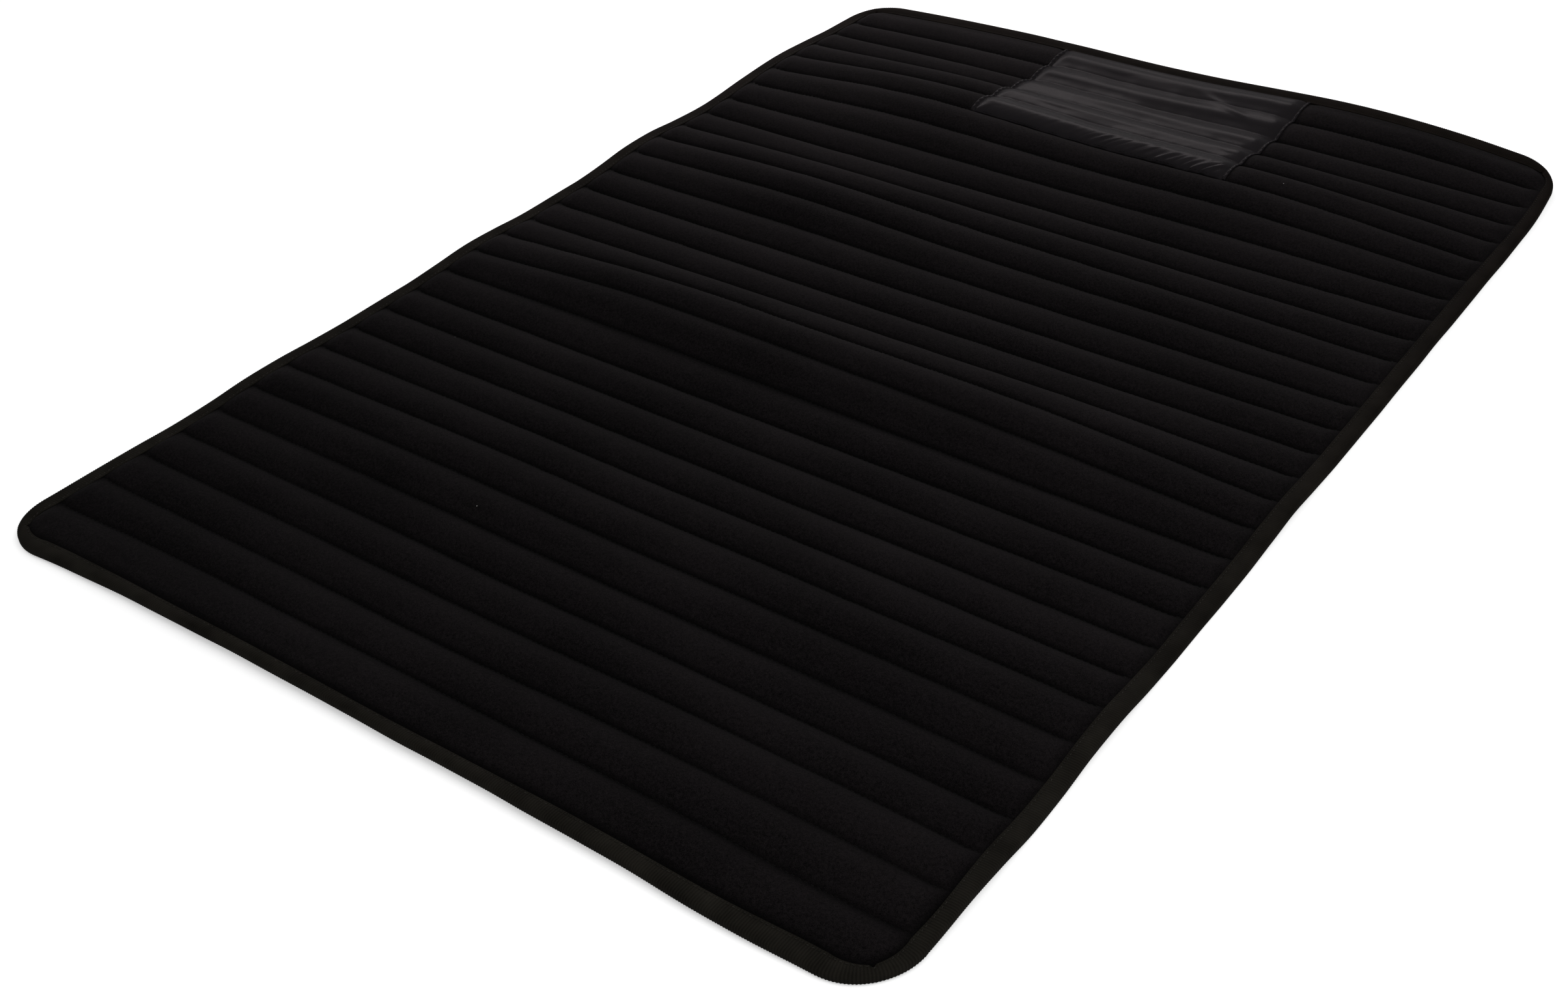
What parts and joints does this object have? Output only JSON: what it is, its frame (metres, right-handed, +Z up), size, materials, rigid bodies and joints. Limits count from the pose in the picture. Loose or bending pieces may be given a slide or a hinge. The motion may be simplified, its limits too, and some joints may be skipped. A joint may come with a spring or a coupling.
{
  "type": "kayak carrier mat",
  "caption": "Rectangular quilted mat with padded channels across its width, a tape-bound edge with round corners and a satin patch at one end, laid on a vehicle to pad it under a kayak.",
  "frame": {"origin": "centre of the bounding box at its base, on the floor that the mat lies on", "axes": "+Z up out of the velour face, +Y along the length towards the end with the patch, +X across the width"},
  "size_m": [0.61, 0.889, 0.0213],
  "materials": {
    "backing": "matt black non-slip underside",
    "foam": "soft dark grey foam padding, hidden inside",
    "velour": "brushed black velour with a short fuzzy nap",
    "tape": "ribbed black grosgrain tape, slightly warmer than the velour",
    "satin": "smooth black satin with a soft shine"
  },
  "bodies": {
    "root": {"backing_sheet": "backing", "foam_padding": "foam", "face_fabric": "velour", "edge_binding": "tape", "patch_panel": "satin"}
  },
  "joints": []
}
